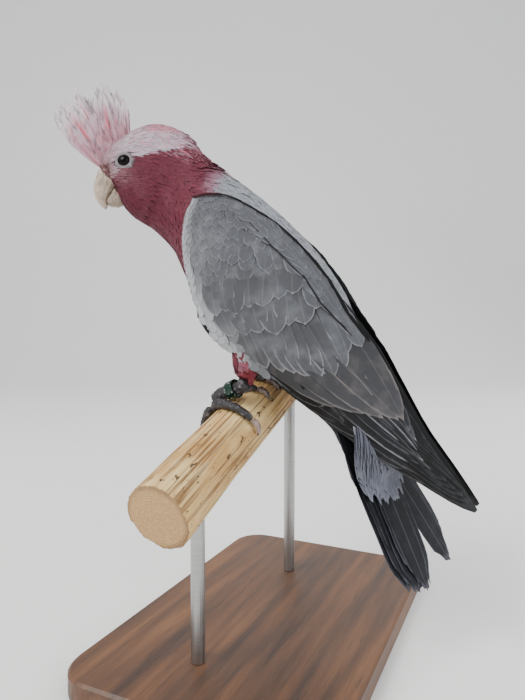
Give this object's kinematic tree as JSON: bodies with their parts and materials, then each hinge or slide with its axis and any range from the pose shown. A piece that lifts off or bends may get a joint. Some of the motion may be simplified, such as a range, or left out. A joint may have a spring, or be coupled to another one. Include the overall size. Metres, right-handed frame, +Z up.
{
  "type": "galah",
  "caption": "Life-size galah, a crested parrot with wings folded, gripping a cut length of branch held over a flat wooden base by two rods",
  "frame": {"origin": "the middle of the underside of the stand's base", "axes": "+Z up; the bird's trunk faces -X and its left side faces -Y; the branch runs across it, along Y and rising a little to the left"},
  "size_m": [0.2665, 0.236, 0.3653],
  "materials": {
    "rose_plumage": "soft overlapping small feathers",
    "pale_plumage": "soft narrow plumes",
    "grey_plumage": "overlapping feathers with paler edges",
    "flight_feathers": "smooth long vanes with a faint sheen",
    "horn": "satin, ridged and slightly flaking",
    "eye": "wet gloss",
    "foot_skin": "dry, covered in small scutes",
    "claw": "smooth horn",
    "ring": "glossy anodised",
    "branch_wood": "stripped and weathered, with long grain",
    "base_wood": "oiled hardwood",
    "rod_steel": "brushed"
  },
  "bodies": {
    "root": {"head": "rose_plumage", "eye_left": "eye", "eye_right": "eye", "bill_upper": "horn", "bill_lower": "horn", "crest": "pale_plumage", "neck": "rose_plumage", "trunk": "grey_plumage", "thigh_left": "rose_plumage", "thigh_right": "rose_plumage", "shank_left": "foot_skin", "shank_right": "foot_skin", "toe_left_inner_front": "foot_skin", "toe_left_outer_front": "foot_skin", "toe_left_inner_hind": "foot_skin", "toe_left_outer_hind": "foot_skin", "toe_right_inner_front": "foot_skin", "toe_right_outer_front": "foot_skin", "toe_right_inner_hind": "foot_skin", "toe_right_outer_hind": "foot_skin", "claw_left_inner_front": "claw", "claw_left_outer_front": "claw", "claw_left_inner_hind": "claw", "claw_left_outer_hind": "claw", "claw_right_inner_front": "claw", "claw_right_outer_front": "claw", "claw_right_inner_hind": "claw", "claw_right_outer_hind": "claw", "leg_ring": "ring", "wing_left": "grey_plumage", "wing_right": "grey_plumage", "primaries_left": "flight_feathers", "primaries_right": "flight_feathers", "tail": "flight_feathers", "perch": "branch_wood", "stand_base": "base_wood", "stand_rod_left": "rod_steel", "stand_rod_right": "rod_steel"}
  },
  "joints": []
}
